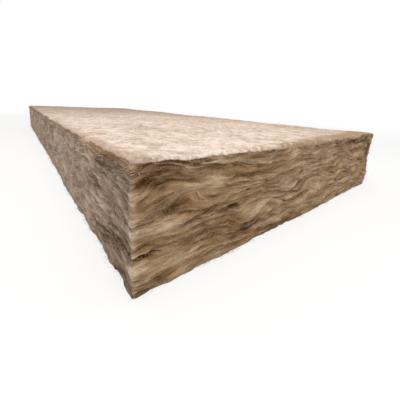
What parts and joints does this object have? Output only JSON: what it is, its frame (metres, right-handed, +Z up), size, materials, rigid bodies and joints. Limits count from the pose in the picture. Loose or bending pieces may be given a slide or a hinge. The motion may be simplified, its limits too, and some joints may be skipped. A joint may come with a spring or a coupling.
{
  "type": "fiberglass insulation batt",
  "caption": "Unfaced brown glass wool batt for a framed wall: a long soft slab with cut sides and ends and a paler, fleecy upper face that rolls over its edges.",
  "frame": {"origin": "centre of the footprint, on the plane that the batt lies on", "axes": "+X along the batt's length, +Y across its width, +Z up through its thickness to the paler upper face"},
  "size_m": [1.16, 0.43, 0.09],
  "materials": {
    "glass_wool": "matte brown glass fibre wool"
  },
  "bodies": {
    "root": {"insulation_batt": "glass_wool"}
  },
  "joints": []
}
